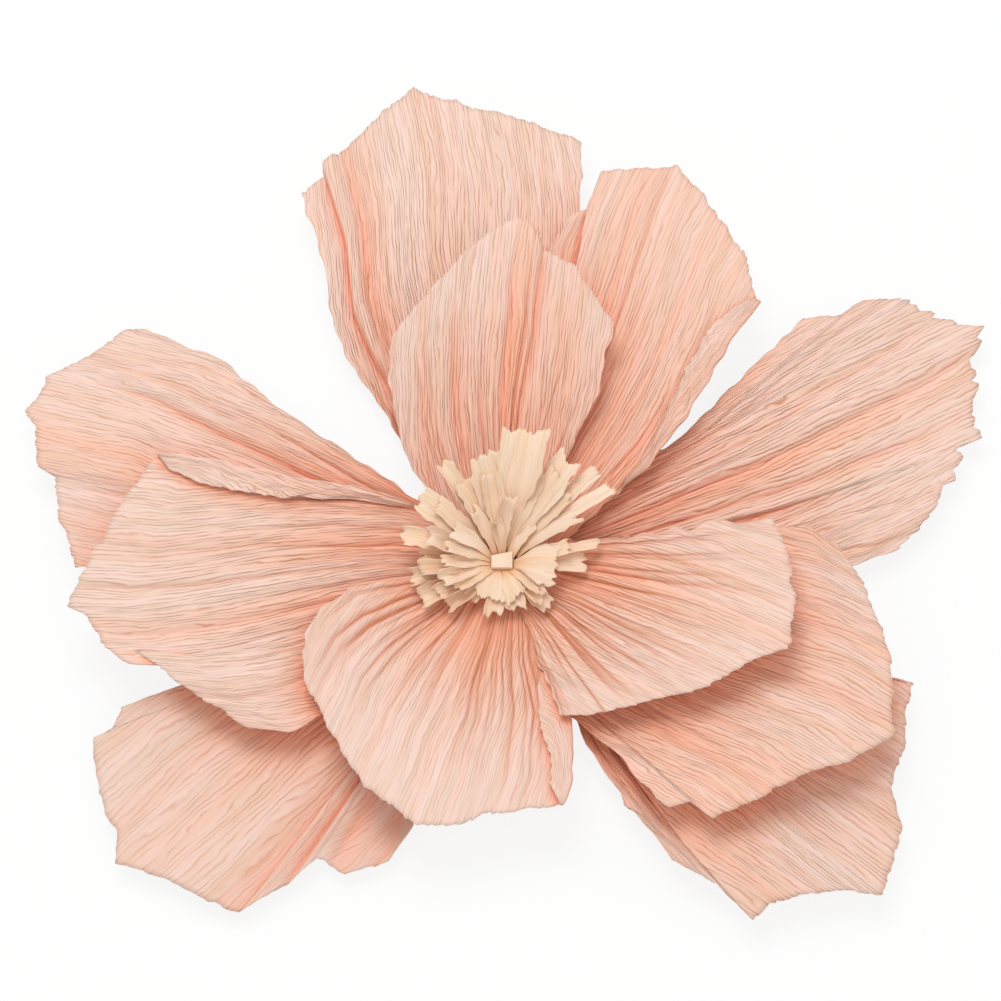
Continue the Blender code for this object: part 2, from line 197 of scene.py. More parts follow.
# %% [markdown]
# ## The grain of crepe paper
# Crepe paper is creased by a blade while it is made, so it is covered with fine crinkles that all
# run one way, a little over a millimetre apart. A Wave texture would make them too even. So a sine
# of the place across the sheet makes the lines, and noise moves that place: slowly by a few
# millimetres, and in short kinks by less than one. A second noise lets each line be strong in one
# stretch and fade in the next, and a bright rim runs beside it where the paper stands up and
# catches the light. The material paints shade into the lines and the hollows between the ridges,
# and a highlight onto the rims. The dye also takes unevenly and leaves long streaks. All of it
# follows the sheet and not the room, so it reads the attribute "sheet", which holds millimetres
# across and along each sheet. It is one node group, because the petals' paper and the fringe's
# both use it with their own values.

# %% Node group: crepe grain
FINE_PITCH = 1.30  # millimetres between the lines
COARSE_PITCH = 2.65  # millimetres between the fewer and longer lines
FINE_SHARE = 0.85  # strength of the fine lines beside the coarse ones
RIM_STEP = 0.42  # millimetres from a line to its bright rim
STRAY = 5.0  # millimetres that the lines stray slowly
KINK = 0.9  # millimetres that they stray in short kinks


def noise_at(nodes, links, place, across, along, shift, detail=1.0, roughness=0.5):
    """Noise with cells of this many millimetres across and along the sheet."""
    scale = nodes.new("ShaderNodeVectorMath")
    scale.operation = "MULTIPLY"
    scale.inputs[1].default_value = (1.0 / across, 1.0 / along, 1.0)
    links.new(place, scale.inputs[0])
    move = nodes.new("ShaderNodeVectorMath")
    move.operation = "ADD"
    move.inputs[1].default_value = (shift, shift, shift)
    links.new(scale.outputs[0], move.inputs[0])
    noise = nodes.new("ShaderNodeTexNoise")
    noise.inputs["Scale"].default_value = 1.0
    noise.inputs["Detail"].default_value = detail
    noise.inputs["Roughness"].default_value = roughness
    links.new(move.outputs[0], noise.inputs["Vector"])
    return noise.outputs["Fac"]


def spread(nodes, links, value, low, high):
    """Stretches the values from low to high over 0 to 1."""
    node = nodes.new("ShaderNodeMapRange")
    node.inputs["From Min"].default_value = low
    node.inputs["From Max"].default_value = high
    links.new(value, node.inputs["Value"])
    return node.outputs[0]


def comb(nodes, links, place, pitch):
    """Round ridges with sharp valleys between them: 0 in a valley and 1 on a ridge."""
    turn = math_node(nodes, links, "MULTIPLY", place, pi / pitch)
    return math_node(nodes, links, "ABSOLUTE", math_node(nodes, links, "SINE", turn))


def make_grain_group():
    group = bpy.data.node_groups.new("crepe_grain", "ShaderNodeTree")
    group.interface.new_socket(name="Sheet", in_out="INPUT", socket_type="NodeSocketVector")
    for name in ("Lines", "RimHighlights", "Ridges", "Streak", "Fleck"):
        group.interface.new_socket(name=name, in_out="OUTPUT", socket_type="NodeSocketFloat")
    nodes, links = group.nodes, group.links
    start = nodes.new("NodeGroupInput")
    end = nodes.new("NodeGroupOutput")
    sheet = start.outputs["Sheet"]
    across = split(nodes, links, sheet)[0]

    def noise(across, along, shift, **finer):
        return noise_at(nodes, links, sheet, across, along, shift, **finer)

    def stretched(value, low, high):
        return spread(nodes, links, value, low, high)

    def calculate(operation, *values):
        return math_node(nodes, links, operation, *values)

    place = calculate("MULTIPLY_ADD", noise(5.0, 45.0, shift=31.0), STRAY, across)
    place = calculate("MULTIPLY_ADD", noise(3.0, 6.0, shift=37.0), KINK, place)
    # Each line is strong in one stretch and fades in the next, whatever its neighbours do.
    force = stretched(noise(1.2, 13.0, shift=41.0), 0.30, 0.60)
    rare = stretched(noise(2.2, 28.0, shift=43.0), 0.44, 0.66)
    fine = comb(nodes, links, place, FINE_PITCH)
    coarse = comb(nodes, links, place, COARSE_PITCH)
    thin = calculate("MULTIPLY", stretched(fine, 0.48, 0.0), force)
    long = calculate("MULTIPLY", stretched(coarse, 0.24, 0.0), rare)
    lines = calculate("MAXIMUM", calculate("MULTIPLY", thin, FINE_SHARE), long)
    # Beside each line the paper stands up and catches the light.
    beside = comb(nodes, links, calculate("ADD", place, RIM_STEP), FINE_PITCH)
    rim_highlights = calculate("MULTIPLY", stretched(beside, 0.55, 0.0), force)
    low = calculate("SUBTRACT", 1.0, fine)
    ridges = calculate("SUBTRACT", 1.0, calculate("MULTIPLY", low, force))
    streak = stretched(noise(6.0, 260.0, shift=13.0, detail=2.0, roughness=0.6), 0.32, 0.68)
    fleck = stretched(noise(3.6, 60.0, shift=23.0, detail=2.0, roughness=0.6), 0.34, 0.66)
    found = {"Lines": lines, "RimHighlights": rim_highlights, "Ridges": ridges, "Streak": streak, "Fleck": fleck}
    for name, value in found.items():
        links.new(value, end.inputs[name])
    return group


crepe_grain = make_grain_group()
print("node group:", crepe_grain.name)

# %% [markdown]
# ## Two crepe papers
# The petals are blush crepe: pale at the tips, warmer towards the foot and in the folds, where
# light passes from sheet to sheet. That warmth is partly the dye and partly painted light, and the
# folds also take a painted shade. The fringe is cream crepe with the same grain and little change
# of colour. Two more attributes tell the material about each place. "tone" holds how warm the
# colour is, how deep the place lies in a fold, which sets a painted shade, and how much other paper
# covers it, which sets painted light passed between the sheets. The other holds how dark the
# painted shade of a crease is and how strongly the grain shows. Paper shines very little, so the
# roughness is high, and the fine crinkle goes in as bump, while its lines, hollows and rims get
# painted shade and highlight.

# %% Crepe materials
TAN = (0.92, 0.92, 0.86, 1.0)  # the dye leans to tan in some streaks
ROSY = (1.0, 1.02, 1.05, 1.0)  # and to rose in others
# The next three are painted: shade between the ridges, darker shade on the lines, and a highlight on the rim
# beside each line.
HOLLOW_SHADE = (0.96, 0.87, 0.80, 1.0)  # between the ridges
LINE_SHADE = (0.76, 0.53, 0.40, 1.0)
RIM_HIGHLIGHT = (1.0, 0.84, 0.74, 1.0)
RIM_HIGHLIGHT_SHARE = 0.40  # how far a rim takes this colour, and so on for folds and creases
STREAK_SHARE = 0.44  # how much the streaks change the warmth of the dye
FOLD_SHADE_SHARE = 0.55
CREASE_SHADE_SHARE = 0.85
MIDDLE_WARMTH = 0.42  # the warmth at which the paper has its middle colour


def crepe_material(name, pale, middle, warm, deep, crease_shade, crinkle_height, glow_share):
    mat, nodes, links = new_material(name)
    shader = nodes["Principled BSDF"]
    shader.inputs["Roughness"].default_value = 0.85
    shader.inputs["Specular IOR Level"].default_value = 0.25

    def calculate(operation, *values, clamp=False):
        return math_node(nodes, links, operation, *values, clamp=clamp)

    def mix(*values):
        return mix_colours(nodes, links, *values)

    warmth, fold_shade, cover = split(nodes, links, attribute(nodes, "tone"))
    crease, grain_share, _ = split(nodes, links, attribute(nodes, "crease_shade_and_grain"))
    grain = nodes.new("ShaderNodeGroup")
    grain.node_tree = crepe_grain
    links.new(attribute(nodes, "sheet"), grain.inputs["Sheet"])
    streak, fleck = grain.outputs["Streak"], grain.outputs["Fleck"]
    # Warmth of the colour: partly the dye and partly painted light and shade, with the dye's streaks laid
    # over it.
    dye_and_painted_light = calculate("MULTIPLY_ADD", streak, STREAK_SHARE, -STREAK_SHARE / 2)
    dye_and_painted_light = calculate("ADD", dye_and_painted_light, warmth, clamp=True)
    ramp = nodes.new("ShaderNodeValToRGB")
    ramp.color_ramp.interpolation = "LINEAR"
    ramp.color_ramp.elements[0].color = pale
    ramp.color_ramp.elements[1].color = warm
    ramp.color_ramp.elements.new(MIDDLE_WARMTH).color = middle
    links.new(dye_and_painted_light, ramp.inputs["Fac"])
    tint = mix(fleck, ROSY, TAN)
    colour = mix(1.0, ramp.outputs["Color"], tint, "MULTIPLY")
    # Painted light and shade: covered paper takes the warm coral of light passed between the sheets, and
    # folds take a deep painted shade.
    glow = calculate("MULTIPLY", cover, glow_share, clamp=True)
    colour = mix(glow, colour, warm)
    shade = calculate("MULTIPLY", fold_shade, FOLD_SHADE_SHARE, clamp=True)
    colour = mix(shade, colour, deep)
    # Painted shade: between the ridges of the crinkle the paper is darker, and darkest on the lines.
    lines = calculate("MULTIPLY", grain.outputs["Lines"], grain_share, clamp=True)
    hollow = calculate("SUBTRACT", 1.0, grain.outputs["Ridges"])
    hollow = calculate("MULTIPLY", hollow, grain_share, clamp=True)
    colour = mix(hollow, colour, HOLLOW_SHADE, "MULTIPLY")
    colour = mix(lines, colour, LINE_SHADE, "MULTIPLY")
    # A painted highlight on the rim beside each line.
    rim_highlights = calculate("MULTIPLY", grain.outputs["RimHighlights"], grain_share)
    rim_highlights = calculate("MULTIPLY", rim_highlights, RIM_HIGHLIGHT_SHARE, clamp=True)
    colour = mix(rim_highlights, colour, RIM_HIGHLIGHT)
    # Painted shade in the creases of the gathers.
    crease = calculate("MULTIPLY", crease, CREASE_SHADE_SHARE)
    colour = mix(crease, colour, crease_shade)
    links.new(colour, shader.inputs["Base Color"])
    height = calculate("MULTIPLY", grain.outputs["Ridges"], grain_share)
    height = calculate("SUBTRACT", height, lines)
    bump = nodes.new("ShaderNodeBump")
    bump.inputs["Strength"].default_value = 1.0
    bump.inputs["Distance"].default_value = crinkle_height
    links.new(height, bump.inputs["Height"])
    links.new(bump.outputs[0], shader.inputs["Normal"])
    return mat


# In each paper the deep colour is the painted shade of the folds, the warm one also stands for painted light
# between the sheets, and the crease colour is the painted shade in creases.
blush_crepe = crepe_material(
    "blush_crepe", pale=(0.865, 0.632, 0.545, 1.0), middle=(0.890, 0.565, 0.450, 1.0),
    warm=(0.950, 0.425, 0.275, 1.0), deep=(0.910, 0.300, 0.155, 1.0),
    crease_shade=(0.560, 0.180, 0.080, 1.0), crinkle_height=0.00020, glow_share=2.0,
)
cream_crepe = crepe_material(
    "cream_crepe", pale=(0.910, 0.710, 0.555, 1.0), middle=(0.905, 0.640, 0.450, 1.0),
    warm=(0.900, 0.540, 0.320, 1.0), deep=(0.800, 0.400, 0.190, 1.0),
    crease_shade=(0.520, 0.240, 0.100, 1.0), crinkle_height=0.00014, glow_share=0.4,
)
print("materials:", blush_crepe.name, cream_crepe.name)

# %% [markdown]
# ## The petals' outlines
# Each petal is one sheet. Its outline is drawn as it lies, in the petal's own frame: across, as a
# share of half the width and counter-clockwise positive, and along, as a share of the length. The
# first edge runs up the clockwise side, the tip runs over to the other side, and the second edge
# runs up that side. Each fold is a place across the sheet, its depth, which side of it is the
# gentle one, and how far out it reaches. Where a side is turned over, the flap gives its free edge
# and turned_from where it begins. The rest is how one petal differs from the next: how warm its
# colour is, at the foot, where it is partly the dye and partly painted light passed between the
# sheets, and in bands of dye (place, width and change), how torn its tip is (teeth) and its sides
# (scallops), how strongly its grain shows and how dark the painted shade of its creases is, and how
# far it ruffles. The petals lie in three ranks, so each one's length and half width are written as
# shares of its rank's.

# %% Sizes that the petals share
FOOT_HALF_WIDTH = 0.007
FOOT_BACK = 0.008  # how far the foot reaches past the axis
FLAT_REACH = 0.025  # the petals lie flat on the stack up to here
BEND = 0.010  # and turn up over about this length
TURN_RADIUS = 0.0014
RANKS = {
    "outer": dict(length=0.215, half_width=0.066, droop=0.044, grid=(300, 60)),
    "middle": dict(length=0.180, half_width=0.065, droop=0.036, grid=(280, 56)),
    "inner": dict(length=0.130, half_width=0.058, droop=0.058, grid=(260, 52)),
}
USUAL = dict(grain=1.0, creases=0.6, foot_warmth=0.66, teeth=1.0, scallops=1.0, bands=())

PETALS = (
    dict(
        name="outer_petal_right", grain=1.1, creases=0.45, heading=20, rise=5.5,
        length=1.065, half_width=0.894, warmth=0.38, ruffle=0.0030,
        teeth=2.8, foot_warmth=0.12, bands=((0.30, 0.07, -0.20), (0.52, 0.05, 0.15), (0.76, 0.06, -0.15)),
        first=((-0.60, 0.37), (-0.88, 0.61)),
        tip=((-0.90, 0.69), (-0.85, 0.72), (-0.72, 0.77), (-0.55, 0.82), (-0.55, 0.845), (-0.32, 0.87),
             (-0.31, 0.915), (0.06, 0.95), (0.48, 1.0), (0.86, 0.89), (0.96, 0.82), (0.92, 0.76),
             (1.0, 0.71)),
        second=((0.47, 0.405), (0.80, 0.59)),
        folds=((0.13, 0.7, 0.5, 0.9), (0.27, 0.8, -0.5, 1.0), (0.41, 0.7, 0.4, 0.9), (0.55, 1.0, -0.4, 1.2),
               (0.69, 0.8, 0.5, 1.2), (0.83, 0.7, -0.4, 1.2)),
    ),
    dict(
        name="outer_petal_top", creases=0.4, heading=98, rise=6.5,
        length=1.028, half_width=0.970, warmth=0.27, ruffle=0.0012,
        bands=((0.36, 0.05, -0.16), (0.60, 0.05, -0.18), (0.50, 0.04, 0.14), (0.76, 0.03, 0.12)),
        first=((-0.89, 0.70),),
        tip=((-0.96, 0.84), (-0.50, 0.915), (-0.28, 0.94), (0.01, 0.983), (0.13, 1.0), (0.25, 0.98),
             (0.56, 0.915), (0.82, 0.865), (0.83, 0.835), (1.0, 0.80)),
        second=((0.61, 0.32), (0.81, 0.435), (0.90, 0.51), (0.90, 0.65)),
        folds=((0.20, 0.4, 0.0, 0.7), (0.42, 0.4, 0.3, 0.7), (0.62, 0.5, -0.3, 0.8), (0.80, 1.7, -0.5, 1.2),
               (0.90, 1.6, 0.5, 1.2)),
    ),
    dict(
        name="outer_petal_lower_left", grain=0.7, creases=0.4, heading=225, rise=5.3,
        length=0.935, half_width=1.015, warmth=0.36, ruffle=0.0020,
        bands=((0.28, 0.06, -0.16), (0.46, 0.05, 0.16), (0.60, 0.03, 0.25)),
        first=((-0.44, 0.38),),
        tip=((-0.81, 0.66), (-1.0, 0.77), (-0.94, 0.82), (-0.98, 0.86), (-0.88, 0.89), (-0.58, 0.95),
             (-0.46, 0.957), (-0.31, 1.0), (-0.01, 0.955), (0.43, 0.895), (0.52, 0.78), (0.53, 0.71),
             (0.72, 0.69), (0.85, 0.61), (0.80, 0.52)),
        second=((0.43, 0.27),),
        folds=((0.14, 0.5, 0.3, 0.9), (0.32, 0.5, -0.3, 0.8), (0.50, 0.6, 0.3, 0.9), (0.64, 1.6, -0.6, 1.2),
               (0.73, 2.2, -0.5, 1.2), (0.82, 2.0, 0.4, 1.2), (0.91, 1.8, -0.4, 1.2)),
    ),
    dict(
        name="outer_petal_left", grain=0.9, creases=0.5, heading=165, rise=6.0,
        length=0.991, half_width=0.924, warmth=0.38, ruffle=0.0030,
        bands=((0.35, 0.06, -0.15), (0.56, 0.05, 0.18), (0.74, 0.06, -0.12)),
        first=((-0.31, 0.20), (-0.51, 0.375), (-0.75, 0.565), (-0.89, 0.64)),
        tip=((-1.0, 0.82), (-0.95, 0.86), (-0.75, 0.90), (-0.47, 0.98), (-0.18, 1.0), (-0.10, 0.977),
             (0.19, 0.94), (0.23, 0.90), (0.46, 0.875), (0.82, 0.80)),
        second=((0.50, 0.48),),
        folds=((0.14, 0.6, 0.4, 0.8), (0.30, 0.8, -0.4, 1.0), (0.48, 0.8, 0.4, 0.9), (0.66, 0.7, -0.4, 0.9),
               (0.84, 0.6, 0.3, 0.9)),
    ),
    dict(
        name="outer_petal_lower_right", grain=1.1, creases=0.5, heading=-44, rise=6.2,
        length=0.972, half_width=1.212, warmth=0.42, ruffle=0.0042,
        bands=((0.43, 0.06, -0.40), (0.24, 0.08, 0.16), (0.64, 0.06, 0.14), (0.80, 0.05, -0.15)),
        first=((-0.35, 0.325), (-0.39, 0.37), (-0.50, 0.515)),
        tip=((-0.55, 0.665), (-0.48, 0.76), (-0.49, 0.853), (-0.37, 0.853), (-0.08, 0.93), (0.06, 1.0),
             (0.23, 0.97), (0.40, 0.94), (0.50, 0.87), (0.71, 0.84), (0.84, 0.79), (1.0, 0.765),
             (0.95, 0.735)),
        second=((0.49, 0.43),),
        folds=((0.16, 0.5, 0.3, 0.9), (0.34, 0.5, -0.3, 0.9), (0.52, 0.6, 0.3, 1.0), (0.70, 0.7, -0.4, 1.0),
               (0.86, 0.7, 0.3, 1.0)),
    ),
    dict(
        name="middle_petal_top_right", grain=0.75, creases=0.5, heading=61, rise=13.0,
        length=1.033, half_width=0.769, warmth=0.52, ruffle=0.0010,
        foot_warmth=0.30, bands=((0.42, 0.06, -0.14), (0.62, 0.04, 0.16)),
        first=((-0.68, 0.35), (-0.76, 0.51), (-0.79, 0.68)),
        tip=((-0.83, 0.80), (-0.55, 0.885), (-0.12, 0.95), (0.34, 1.0), (0.89, 0.907), (0.79, 0.84),
             (0.96, 0.775)),
        second=((0.60, 0.45), (0.93, 0.70)),
        folds=((0.30, 0.4, 0.3, 0.7), (0.52, 0.5, -0.3, 0.7), (0.72, 0.5, 0.3, 0.8), (0.87, 1.9, 0.5, 1.2)),
        flap=((-0.42, 0.42), (-0.58, 0.55), (-0.60, 0.70), (-0.76, 0.79)), turned_from=0.36,
    ),
    dict(
        name="middle_petal_left", heading=184, rise=13.5,
        length=0.994, half_width=1.092, warmth=0.32, ruffle=0.0016,
        foot_warmth=0.50,
        bands=((0.25, 0.05, 0.12), (0.42, 0.05, -0.15), (0.56, 0.05, 0.20), (0.74, 0.07, -0.15)),
        first=((-0.41, 0.20), (-0.49, 0.345), (-0.58, 0.55), (-0.67, 0.71)),
        tip=((-0.70, 0.79), (-0.44, 0.865), (-0.06, 0.955), (0.20, 1.0), (0.25, 0.965), (0.40, 0.934),
             (0.56, 0.875), (0.48, 0.845), (0.69, 0.755), (0.96, 0.605)),
        second=((0.90, 0.43), (1.0, 0.52)),
        folds=((0.18, 0.5, 0.3, 0.7), (0.33, 0.7, -0.4, 0.8), (0.48, 0.8, 0.4, 0.8), (0.64, 0.8, -0.4, 0.9),
               (0.82, 0.6, 0.3, 0.8)),
        flap=((-0.33, 0.36), (-0.44, 0.55), (-0.50, 0.665), (-0.60, 0.76)), turned_from=0.22,
    ),
    dict(
        name="middle_petal_right", grain=1.1, creases=0.5, heading=-25, rise=14.0,
        length=0.983, half_width=1.077, warmth=0.56, ruffle=0.0018, scallops=2.2,
        bands=((0.84, 0.06, -0.35), (0.58, 0.05, 0.12), (0.46, 0.04, -0.18), (0.24, 0.06, 0.16)),
        first=((-0.71, 0.31),),
        tip=((-1.0, 0.61), (-0.92, 0.645), (-0.97, 0.705), (-0.63, 0.82), (-0.47, 0.87), (-0.35, 0.933),
             (-0.09, 1.0), (0.34, 0.925), (0.66, 0.81), (0.87, 0.705)),
        second=((0.62, 0.40), (0.87, 0.61)),
        folds=((0.12, 0.7, 0.3, 0.9), (0.27, 0.8, -0.4, 0.9), (0.43, 0.6, 0.3, 0.8), (0.62, 0.5, -0.3, 0.8),
               (0.80, 0.5, 0.3, 0.8)),
    ),
    dict(
        name="inner_petal_top", grain=0.9, creases=0.5, heading=90, rise=24.0,
        length=1.085, half_width=0.828, warmth=0.34, ruffle=0.0008,
        foot_warmth=0.12, bands=((0.24, 0.05, 0.16), (0.39, 0.05, 0.30), (0.58, 0.05, -0.15)),
        first=((-0.51, 0.28), (-0.85, 0.495)),
        tip=((-0.98, 0.685), (-0.63, 0.855), (-0.38, 0.905), (-0.24, 0.99), (-0.14, 1.0), (0.25, 0.92),
             (0.57, 0.81), (0.97, 0.645)),
        second=((0.83, 0.30), (0.89, 0.36), (1.0, 0.51)),
        folds=((0.14, 1.0, 0.3, 0.9), (0.22, 0.8, -0.4, 0.8), (0.33, 1.8, -0.6, 1.2), (0.45, 1.4, -0.5, 1.0),
               (0.56, 0.8, 0.4, 0.8), (0.68, 1.5, 0.4, 0.95), (0.83, 0.7, 0.3, 0.8)),
    ),
    dict(
        name="inner_petal_bottom", grain=0.6, creases=1.7, heading=255, rise=20.0,
        length=0.938, half_width=1.172, warmth=0.24, ruffle=0.0008,
        foot_warmth=0.95, first=((-0.46, 0.13), (-0.66, 0.185), (-0.83, 0.245), (-0.96, 0.34), (-1.0, 0.45)),
        tip=((-1.0, 0.52), (-0.93, 0.62), (-0.76, 0.72), (-0.59, 0.83), (-0.38, 0.925), (-0.05, 1.0),
             (0.16, 0.975), (0.35, 0.90), (0.74, 0.815)),
        second=((0.42, 0.31), (0.64, 0.48), (0.76, 0.70)),
        folds=((0.30, 0.4, 0.3, 0.7), (0.50, 0.6, -0.3, 0.8), (0.66, 0.7, 0.3, 0.8), (0.84, 0.6, 0.3, 0.8)),
        flap=((0.33, 0.40), (0.55, 0.60), (0.62, 0.66), (0.66, 0.76)), turned_from=0.25,
    ),
    dict(
        name="inner_petal_right", grain=0.8, creases=1.8, heading=-20, rise=27.0,
        length=0.962, half_width=1.017, warmth=0.30, ruffle=0.0008, scallops=2.0,
        foot_warmth=0.78, bands=((0.34, 0.05, -0.10), (0.62, 0.04, 0.14), (0.82, 0.04, 0.12)),
        first=((-0.36, 0.135), (-0.76, 0.28)),
        tip=((-1.0, 0.37), (-0.94, 0.465), (-0.71, 0.645), (-0.52, 0.795), (-0.23, 0.915), (-0.11, 1.0),
             (0.26, 0.96), (0.66, 0.865), (0.76, 0.80)),
        second=((0.37, 0.28), (0.55, 0.535)),
        folds=((0.22, 0.6, 0.3, 0.8), (0.38, 0.7, -0.3, 0.8), (0.56, 0.8, 0.3, 0.9), (0.74, 0.7, -0.3, 0.8)),
    ),
)


def complete(spec):
    """A petal's values, with its rank's sizes worked in and the usual values where it has none."""
    rank = RANKS[spec["name"].split("_")[0]]
    sizes = {key: spec[key] * rank[key] for key in ("length", "half_width")}
    return {**USUAL, **rank, **spec, **sizes}


print("petals:", len(PETALS), "in", len(RANKS), "ranks")

# %% [markdown]
# ## Random crinkle that is the same each run
# Folds that a hand makes are never even. A small lattice of random numbers, blended smoothly,
# gives such unevenness, and a fixed seed for each petal gives the same flower each time.

# %% Smooth noise
LATTICE = 64


def smooth(value):
    """Eases 0 to 1, and holds it outside."""
    value = np.clip(value, 0.0, 1.0)
    return value * value * (3.0 - 2.0 * value)


def crumple(across, along, seed):
    """Smooth random values from -1 to 1, with one lattice point to each unit."""
    table = np.random.default_rng(seed).uniform(-1.0, 1.0, (LATTICE, LATTICE))
    column = np.floor(across).astype(int)
    row = np.floor(along).astype(int)
    right = smooth(across - column)
    up = smooth(along - row)
    near = table[column % LATTICE, row % LATTICE] * (1 - right)
    near = near + table[(column + 1) % LATTICE, row % LATTICE] * right
    far = table[column % LATTICE, (row + 1) % LATTICE] * (1 - right)
    far = far + table[(column + 1) % LATTICE, (row + 1) % LATTICE] * right
    return near * (1 - up) + far * up


# %% [markdown]
# ## The sheet of a petal
# A petal could be cut from a plane and simulated, but a gathered foot needs far more cloth than a
# solver handles well in paper. So each sheet is a fine grid whose points are placed by rules: the
# outline blended over the grid, the rise from the stack, folds with a sharp bottom, gathers that
# fade away from the foot, and the crinkle of the paper.

# %% Rules for the shape
MM = 1000.0
FOLD_DEPTH = 0.0040
FOLD_LIFT = 0.3  # share of that depth by which the sheet stands higher between its folds
FOLD_GROWTH = 0.028  # metres past the flat part at which the folds have half their depth
FOLD_WIDTH = 0.0252  # share of the petal's width
FOLD_LIMIT = 2.2  # neighbouring folds together go no deeper than this
GATHER_DEPTH = 0.0016
GATHER_REACH = (0.055, 0.135)  # metres from the axis to where a gather has faded
GATHERS = 38
GATHER_BEND = 0.005  # how far a gather strays sideways, as a share of the petal's width
SURPLUS = 0.40  # share of the width that is gathered away at the foot
CALM_EDGE = 0.05  # share of the width, at each side, over which folds fade out
TIP_FRAY = ((0.60, 1.3), (0.80, 4.5))  # depth and spacing of the tip's teeth, in millimetres
SIDE_FRAY_SPACING = 7.0  # millimetres
CRINKLE = ((0.07, 1.1, 20.0), (0.10, 2.4, 60.0))  # height and spacing across and along, in millimetres
WANDER = 0.25  # millimetres that the crinkle strays sideways
RUFFLE_SPACING = 24.0  # millimetres
TIP_PALENESS = 0.20


def along_line(points, share):
    """The points at these shares of a polyline's length."""
    points = np.array(points)
    steps = np.hypot(*np.diff(points, axis=0).T)
    reach = np.concatenate(([0.0], np.cumsum(steps))) / steps.sum()
    return np.stack([np.interp(share, reach, points[:, 0]), np.interp(share, reach, points[:, 1])], -1)


def past_flat(radius):
    """How far past its flat part a place on a petal lies."""
    return np.maximum(radius - FLAT_REACH, 0.0)


def triple(*values):
    """Three values for each point, where a plain number holds for all of them."""
    return np.stack(np.broadcast_arrays(*values), -1)


def pinch(offset, width, lean):
    """A fold across its line: 1 at the bottom and 0 far away, steeper on the side that lean gives."""
    side = np.where(offset > 0, 1 + lean, 1 - lean)
    distance = np.abs(offset) / (width * side)
    return np.exp(0.25 - np.sqrt(distance**2 + 0.0625))


